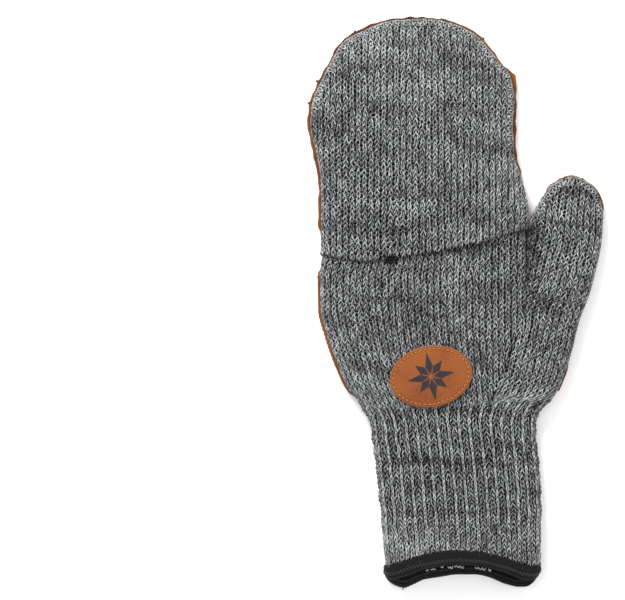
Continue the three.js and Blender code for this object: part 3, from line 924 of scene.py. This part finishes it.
for finger, (root, end, end_y) in FINGERS.items():
    root_y = float(web_at(root[0])) - 2
    levels = hand.sizes(60)[2:]
    tube = Tube([(end_y, *end, *levels), (root_y, *root, *levels)])
    shell(f"{finger}_tube", 32, 12, round_tube(tube, root_y, end_y, -0.6), 1.2, f"{finger}_knit")

# Suede. Every sheet follows the underside and turns up at the sides.
SKIN, SHEET, FOOT = 0.9, 0.95, 0.4  # how far it lies outside the knit, its thickness, and its lowest height
TURNED_UP = 3.0  # height of its turned-up edges
CUT_X, CUT_FLARE = 36.9, 1.5  # cut between palm and thumb, and how far it opens above the ball
hand_skin, thumb_skin, cap_leaf = Tube(HAND_ROWS, SKIN), Tube(THUMB_ROWS, SKIN), Tube(CAP_ROWS, 0.25)


def lower_of_both(x, y):
    return np.minimum(hand_skin.under(x, y), thumb_skin.under(x, y))


def under_both(x, y):
    return np.where(y < 9, lower_of_both(x, y), hand_skin.under(x, y))


def leaf_height(x, y):
    return np.maximum(cap_leaf.under(x, y), FOOT)


def spread_columns(across):
    return (1 - np.cos(math.pi * across)) / 2


def palm_x(across, y):
    left = hand.sizes(y)[..., 0] - SKIN - 0.5
    right = CUT_X - CUT_FLARE * ramp(y, 6.5, 9)
    return left + (right - left) * spread_columns(across)


def thumb_x(across, y):
    tip = thumb.sizes(y)
    right = np.minimum(tip[..., 1] + SKIN + 0.3, suede_side(y))
    thumb_left = tip[..., 0] - SKIN - 0.3 + 1.2 * ramp(y, 60, 57)
    left = np.maximum(CUT_X + CUT_FLARE * ramp(y, 6.5, 9), thumb_left - np.where(y < 20, 60, 0))
    return left + (right - left) * spread_columns(across)


def settle(line, xs, across, start):
    """Where each column of a sheet meets a boundary line."""
    y = np.full(len(across), float(start))
    for _ in range(12):
        y = line(xs(across, y))
    return y


def palm_place(across, along):
    low, high = settle(heel_at, palm_x, across, -45), settle(seam_at, palm_x, across, 25)
    y = low + (high - low) * along
    x = palm_x(across, y)
    z = np.where(across < 1e-6, TURNED_UP, np.clip(under_both(x, y), FOOT, TURNED_UP))
    return np.stack([x, y, z], axis=-1)


def thumb_place(across, along):
    low = settle(heel_at, thumb_x, across, -45)
    y = low + (thumb.high + SKIN - low) * np.minimum(along / 0.96, 1)
    x = thumb_x(across, y)
    z = np.clip(np.where(y < 9, lower_of_both(x, y), thumb_skin.under(x, y)), FOOT, TURNED_UP)
    turned = ((across < 1e-6) & (y > 12)) | ((across > 1 - 1e-6) & (y > 48)) | (along > 0.96)
    return thumb_tip(np.stack([x, y, np.where(turned, TURNED_UP, z)], axis=-1))


def leaf_place(across, along):
    """The cap's suede, with a slightly wavy cut edge. Near its mouth it is drawn in at both sides."""
    y = CAP_MOUTH + (cap.high - CAP_MOUTH) * (1 - (1 - np.minimum(along / 0.97, 1)) ** 1.5)
    sizes = cap_leaf.sizes(y)
    drawn_to = np.where(across < 0.5, 38, 70)
    half = (sizes[..., 1] - sizes[..., 0]) / 2 + 0.85 - 1.9 * ramp(y, drawn_to, drawn_to - 5)
    x = cap_leaf.middle(y) - half * np.cos(math.pi * across)
    turned = (across < 1e-6) | (across > 1 - 1e-6) | (along > 0.97)
    z = np.where(turned, TURNED_UP, np.clip(cap_leaf.under(x, y), FOOT, TURNED_UP))
    edge = ramp(z, 1.4, 2.4)
    bulge = 0.9 * np.exp(-((x - 30) ** 2 + (y - 119) ** 2) / 30)
    x = x + edge * (0.5 * ripple(x, y, 21, 8) + bulge)
    y = y + edge * (0.4 * ripple(x, y, 22, 8) * (y > 60) + 1.1 * ramp(y, 132, 144))
    return cap_tip(np.stack([x, y, z], axis=-1))


def knuckle_place(across, along):
    x = -69.0 + 102.0 * spread_columns(across)
    low, high = seam_at(x) + 0.35, web_at(x) + 1.0
    y = low + (high - low) * along
    return np.stack([x, y, np.clip(hand_skin.under(x, y), FOOT, TURNED_UP)], axis=-1)


def strip_place(root, end, end_y):
    """The suede under a half finger."""
    def place(across, along):
        low = web_at((root[0] + root[1]) / 2) + 0.5
        y = low + (end_y - 2 - low) * along
        left, right = root[0] + 1.6 + (end[0] - root[0]) * along, root[1] - 1.6 + (end[1] - root[1]) * along
        x = left + (right - left) * across
        return np.stack([x, y, np.clip(hand_skin.under(x, y), FOOT, 2.4)], axis=-1)
    return place


def cut_suede(name, stands_for, sheets, edge=0.2, weld=0.0):
    """One piece of suede out of sheets, given as columns, rows and place. weld joins them at that distance."""
    bm = bmesh.new()
    for columns, rows, place in sheets:
        laid(bm, columns, rows, place, (0, 0, -1))
    if weld:
        bmesh.ops.remove_doubles(bm, verts=bm.verts, dist=weld)
    walled(put(finished(bm, name), TAN, "suede", stands_for), SHEET, edge)


cut_suede("palm_suede", "palm_leather", [(56, 56, palm_place), (40, 72, thumb_place)], weld=0.05)
cut_suede("cap_suede", "cap_leather", [(66, 76, leaf_place)])
strips = [(8, 16, strip_place(*finger)) for finger in FINGERS.values()]
cut_suede("finger_suede", "finger_leather", [(56, 14, knuckle_place)] + strips, 0.15)

# Grip dots, printed in staggered rows.
DOT_RADIUS, DOT_HEIGHT, DOT_PITCH = 1.25, 0.32, 4.7
DOT = np.array([  # three rings of a dot of size 1
    (r * math.cos(a), r * math.sin(a), -h)
    for r, h in ((1.0, -0.3), (0.86, 0.62), (0.45, 1.0)) for a in np.arange(8) * math.pi / 4])
DOT_FACES = np.array([
    [k + 8 * ring, (k + 1) % 8 + 8 * ring, (k + 1) % 8 + 8 * ring + 8, k + 8 * ring + 8]
    for ring in (0, 1) for k in range(8)] + [[16, 17, 18, 19], [16, 19, 20, 23], [20, 21, 22, 23]])


def dots(name, x, y, height):
    """Low round dots that face down on the suede, whose height is known."""
    centres = np.stack([x, y, height(x, y)], axis=-1)
    points = (centres[:, None] + DOT * [DOT_RADIUS, DOT_RADIUS, DOT_HEIGHT]).reshape(-1, 3)
    faces = (np.arange(len(centres))[:, None, None] * len(DOT) + DOT_FACES[None, :, ::-1]).reshape(-1, 4)
    put(joined(name, points, faces), RUBBER, "suede")


def staggered(low, high, tilt=0.0):
    """Places in plan on staggered rows, turned by tilt, between two corners."""
    places = np.arange(-200, 200, DOT_PITCH), np.arange(-200, 200, DOT_PITCH * 0.87)
    x, y = np.meshgrid(*places)
    x = x + (np.round(y / (DOT_PITCH * 0.87)) % 2) * DOT_PITCH / 2
    c, s = math.cos(tilt), math.sin(tilt)
    x, y = (c * x - s * y).ravel(), (s * x + c * y).ravel()
    inside = (x > low[0]) & (x < high[0]) & (y > low[1]) & (y < high[1])
    return x[inside], y[inside]


x, y = staggered((-80, CAP_MOUTH + 3.5), (40, 146))
sizes = cap_leaf.sizes(y)
free = (x > sizes[:, 0] + 4) & (x < sizes[:, 1] - 4)
dots("cap_dots", x[free], y[free], leaf_height)

x, y = staggered((-75, -52), (80, 34), math.radians(12))
sizes = hand.sizes(y)
heel_band = (x > -5) & (y < heel_at(x) + 22) & (y > heel_at(x) + 3) & (x < sizes[:, 1] - 2)
outer_heel = (x < -38 + 0.3 * (y + 30)) & (y < -4) & (y > heel_at(x) + 3)
ball = (x > 38) & (x < suede_side(y) - 4) & (x < thumb.sizes(y)[:, 1] - 3) & (y > heel_at(np.minimum(x, 54)) + 3)
free = ((heel_band | outer_heel) & (x > sizes[:, 0] + 5) & (x < 36)) | ball
dots("palm_dots", x[free], y[free], lambda x, y: np.maximum(lower_of_both(x, y), FOOT))

# Stitched seams.
STITCH, STITCH_PITCH = 1.7, 2.4  # length of a stitch, and from one to the next
BOW = np.array([-0.23, 0.17, 0.24, 0.24, 0.17, -0.23])  # height of a stitch over the suede, along it
THREAD = 0.28  # radius of the thread


def even_strand(path, normal, tone=0.5):
    """A strand with one normal and one tone."""
    return path, np.tile(np.asarray(normal, dtype=float), (len(path), 1)), np.full(len(path), tone)


def stitches(line, height, up):
    """Stitches along a line in plan, on a surface whose height is known: up is 1 on the upper side and -1 below."""
    steps = lengths(line)
    strands = []
    for start in np.arange(0.3, steps[-1] - STITCH, STITCH_PITCH):
        at = start + STITCH * np.linspace(0, 1, len(BOW)) + chance.normal(0, 0.05)
        x, y = np.interp(at, steps, line[:, 0]), np.interp(at, steps, line[:, 1])
        path = np.stack([x, y, height(x, y) + up * BOW], axis=-1)
        strands.append(even_strand(path, [0, 0, up], chance.uniform(0, 1)))
    return strands


def fine(points):
    """A line through points, read every half millimetre through smooth bends."""
    points = np.asarray(points, dtype=float)
    run = lengths(points)
    return smooth([tuple(row) for row in np.column_stack([run, points])])(np.arange(0, run[-1], 0.5))


def palm_height(x, y):
    return np.clip(np.where(x > 37, lower_of_both(x, y), under_both(x, y)), FOOT, TURNED_UP)


def offset(line, distance):
    """A line beside another, to its left as it runs."""
    along = np.gradient(line, axis=0)
    along /= np.linalg.norm(along, axis=1, keepdims=True)
    return line + distance * np.column_stack([-along[:, 1], along[:, 0]])


seam = fine([(x, y) for x, y in SEAM if -69 < x < 30])
heel_arc = fine([(-66, -5), (-50, -2), (-38, -6), (-34, -18), (-38, -32), (-50, -44)])
hem_line = fine([(x, CAP_MOUTH) for x in np.arange(-68, 36, 6.0)])
thumb_edge = fine([
    (38.6, 12), (39.0, 40), (43.5, 52), (50, 60), (60, 63.6), (69, 59), (74, 48), (74.5, 40), (71, 20), (66.5, 6),
    (60.5, -16), (56, -34), (50, -43), (36, -43),
])
cut_line = fine([(34, 44), (34, 10), (33, -20), (28, -38)])
little_side = fine([(-65.5, 14), (-68.2, 2), (-66, -16), (-60, -33)])
palm_lines = [offset(seam, -1.4), offset(heel_arc, -0.2), offset(seam, -3.2), offset(heel_arc, 1.6)]
palm_strands = []
for line in palm_lines + [offset(thumb_edge, -1.7), cut_line, little_side]:
    palm_strands += stitches(line, palm_height, -1)
for low, high in ((12.0, 18.0), (-34.0, -3.0)):  # on the turned-up edge
    y = np.arange(low, high, 0.5)
    edge = np.column_stack([hand.sizes(y)[:, 0] - SKIN - 0.5, y])
    palm_strands += stitches(edge, lambda x, y: np.full(len(x), 2.7), 1)
put(thread("palm_stitches", palm_strands, THREAD), GOLD, "suede")
leaf_strands = stitches(offset(hem_line, 1.8), leaf_height, -1) + stitches(offset(hem_line, 3.6), leaf_height, -1)
put(thread("cap_stitches", leaf_strands, THREAD), GOLD, "suede")

# Oval badge on the back of the hand, with its stitched rim and a printed eight-pointed star.
BADGE_EDGE = [  # share of the way out, inset from the outline, height: from the middle over the stitches' groove
    (0.0, 4.0, 1.42), (0.45, 4.0, 1.45), (0.75, 4.0, 1.42), (0.9, 4.0, 1.4), (1.0, 3.2, 1.38), (1.0, 2.4, 1.3),
    (1.0, 2.0, 1.12), (1.0, 1.7, 1.05), (1.0, 1.4, 1.12), (1.0, 1.0, 1.3), (1.0, 0.5, 1.26), (1.0, 0.15, 1.08),
    (1.0, 0.0, 0.8), (1.0, 0.0, 0.3), (1.0, 0.5, 0.05),
]
BADGE_SEAM = 1.7  # inset of its stitches


def along_rows(rows, share):
    """The columns of a table, read at a share of the way down it."""
    return (np.interp(share * (len(rows) - 1), np.arange(len(rows)), column) for column in np.array(rows).T)


def badge_oval(angle, share, inset):
    """A place on the badge in the plan."""
    c, s = math.cos(math.radians(PATCH_TILT)), math.sin(math.radians(PATCH_TILT))
    along = share * (PATCH_SIZE[0] / 2 - inset) * np.cos(angle)
    across = share * (PATCH_SIZE[1] / 2 - inset) * np.sin(angle)
    return PATCH_CENTRE[0] + along * c - across * s, PATCH_CENTRE[1] + along * s + across * c


def badge_height(x, y, height):
    return hand.top(x, y) + GAP + height


def badge_place(across, along):
    share, inset, height = along_rows(BADGE_EDGE, along)
    x, y = badge_oval(2 * math.pi * across, share, inset)
    return np.stack([x, y, badge_height(x, y, height)], axis=-1)


bm = bmesh.new()
laid(bm, 96, 28, badge_place, (0, 0, 1), weld=0.02)
put(finished(bm, "badge_oval"), BADGE, "badge_suede", "back_patch")
rim = np.column_stack(badge_oval(np.linspace(0, 2 * math.pi, 400), 1, BADGE_SEAM))
rim_stitches = stitches(rim, lambda x, y: badge_height(x, y, 1.2), 1)
put(thread("badge_stitches", rim_stitches, 0.3), GOLD, "badge_suede")


def star(name, centre, size, height, up, tilt, slot):
    """Eight kite-shaped rays of ink on a surface whose height is known, every second one shorter."""
    bm = bmesh.new()
    for ray in range(8):
        reach = size * (1.0 if ray % 2 == 0 else 0.8)
        angle = ray * math.pi / 4 + tilt
        c, s = math.cos(angle), math.sin(angle)
        kite = [(size * 0.08, 0.0), (size * 0.42, -size * 0.165), (reach, 0.0), (size * 0.42, size * 0.165)]
        bm.faces.new([
            bm.verts.new((centre[0] + along * c - across * s, centre[1] + along * s + across * c, 0))
            for along, across in kite])
    bmesh.ops.subdivide_edges(bm, edges=bm.edges, cuts=3, use_grid_fill=True)
    for vert in bm.verts:
        vert.co.z = float(height(vert.co.x, vert.co.y)) + up * 0.05
    if up < 0:
        bmesh.ops.reverse_faces(bm, faces=bm.faces)
    put(finished(bm, name), PRINT, slot)


star("badge_star", PATCH_CENTRE, 12.6, lambda x, y: badge_height(x, y, 1.42), 1, math.radians(PATCH_TILT),
     "badge_suede")
star("palm_star", (-6, 4), 15.0, palm_height, -1, 0.0, "suede")

# Elastic binding folded over the cuff's edge, and its row of stitches.
BAND = [  # out from the knit, and y, once round the tape's section
    (0.5, -137.6), (0.62, -138.3), (0.6, -140.3), (0.62, -142.6), (0.3, -143.7), (-0.5, -144.3), (-1.6, -144.5),
    (-2.7, -144.3), (-3.5, -143.7), (-3.75, -142.6), (-3.7, -139.5), (-3.6, -137.9), (-2.9, -137.8), (-2.85, -142.6),
    (-1.6, -143.4), (-0.45, -142.6), (-0.4, -137.0), (0.5, -137.0),
]


def band_place(across, along):
    """The tape ripples a little, and dips at both sides of the cuff."""
    grow, y = along_rows(BAND, along)
    s = (2 * across - 1) * np.interp(y, cuff.ys, cuff.half_round)
    base = cuff.point(y, s)
    x, z = base[:, 0], base[:, 2]
    wave = 0.22 * np.sin(2 * math.pi * across * CUFF_WALES) * (grow > -0.4) + 0.25 * ripple(x, 2 * z, 31, 30)
    points = base + cuff.normal(y, s * 0.999) * (grow + wave * 0.6)[:, None]
    dip = 2.2 * ramp(np.abs(x - CUFF_MIDDLE), 36, 42) ** 2
    points[:, 1] += 0.3 * ripple(x, 2 * z, 33, 24) - dip * ramp(points[:, 1], -142, -138)
    return bent_mouth(points)


def tape_thread(y_middle, reach, grow, pitch=1.7):
    """A zigzag of thread all round the tape, grow from the knit: on its outside or its inside."""
    length = float(np.interp(y_middle, cuff.ys, cuff.half_round))
    s = np.arange(-length, length, pitch / 6)
    y = y_middle + reach * np.sin(2 * math.pi * s / pitch)
    normal = cuff.normal(y, s)
    return bent_mouth(cuff.point(y, s) + normal * grow), normal, np.full(len(s), 0.5)


bm = bmesh.new()
laid(bm, 6 * CUFF_WALES, 34, band_place, weld=0.02)
put(finished(bm, "cuff_tape"), TAPE, "elastic", "cuff_binding")
loose_end = np.array([
    (-29.6, -148.0, 1.4), (-29.0, -149.4, 1.4), (-28.6, -150.6, 0.9), (-28.2, -151.2, 0.5), (-28.7, -152.0, 0.4)])
tape_strands = [tape_thread(-142.9, 0.8, 0.8), tape_thread(-142.3, 0.6, -3.9), even_strand(loose_end, [0, 0, 1])]
put(thread("tape_stitches", tape_strands, 0.25), BLACK_THREAD, "elastic")

# Ends of the wool's loops that show inside the mouth, longer towards the right.
loop_ends = []
for start in np.arange(-22, 16, 1.9):
    if chance.uniform(0, 1) < 0.3:
        continue
    share = np.linspace(0, 1, 7)
    s = start + chance.uniform(-0.5, 0.5) + chance.uniform(1.2, 2.6) * share
    reach = chance.uniform(0.3, 1.2) + 0.5 * (start > -9)
    y = -144.1 - reach * np.sin(math.pi * share)
    normal = cuff.normal(y, s)
    path = bent_mouth(cuff.point(y, s) - normal * chance.uniform(3.0, 4.2))
    loop_ends.append((path, normal, np.full(7, chance.uniform(0.5, 1.1))))
put(thread("mouth_loops", loop_ends, 0.3), WOOL, "wool_knit")

# Fine hairs that stand off the wool.
hairs = []
for strands, count in ((cap_strands, 330), (hand_strands, 220), (thumb_strands, 150), (cuff_strands, 280)):
    for _ in range(count):
        path, normal, _ = strands[chance.integers(len(strands))]
        k = chance.integers(len(path))
        lean = chance.normal(0, 1, 3) + 0.8 * normal[k]
        turn_away = chance.normal(0, 0.5, 3)
        far = np.linspace(0, chance.uniform(0.9, 2.6), 3)[:, None]
        hair = path[k] + far * lean / np.linalg.norm(lean) + far**2 * turn_away * 0.2
        hairs.append(even_strand(hair, np.cross(lean, turn_away), 0.9))
put(thread("wool_hairs", hairs, 0.05), WOOL, "wool_knit")

# Grip dots that sit on the very edge of the cap's suede and peep out round it, each on its ray from the cap's middle.
peeping = []
for turn in (118.0, 146.0, 157.0, 79.0, 60.0):
    outward = np.array([math.cos(math.radians(turn)), math.sin(math.radians(turn)), 0])
    ray = np.array([-20, 80, 0]) + outward * np.arange(0, 90, 0.2)[:, None]
    sizes = cap_leaf.sizes(ray[:, 1])
    inside = (ray[:, 0] > sizes[:, 0] - 0.8) & (ray[:, 0] < sizes[:, 1] + 0.8) & (ray[:, 1] < cap.high)
    base = cap_tip(ray[inside][-1:]) + [0, 0, 3.4]
    peeping.append(even_strand(base + outward * np.linspace(-0.3, 1.5, 4)[:, None], [0, 0, 1]))
put(thread("edge_dots", peeping, 0.75), RUBBER, "suede")

low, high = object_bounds()
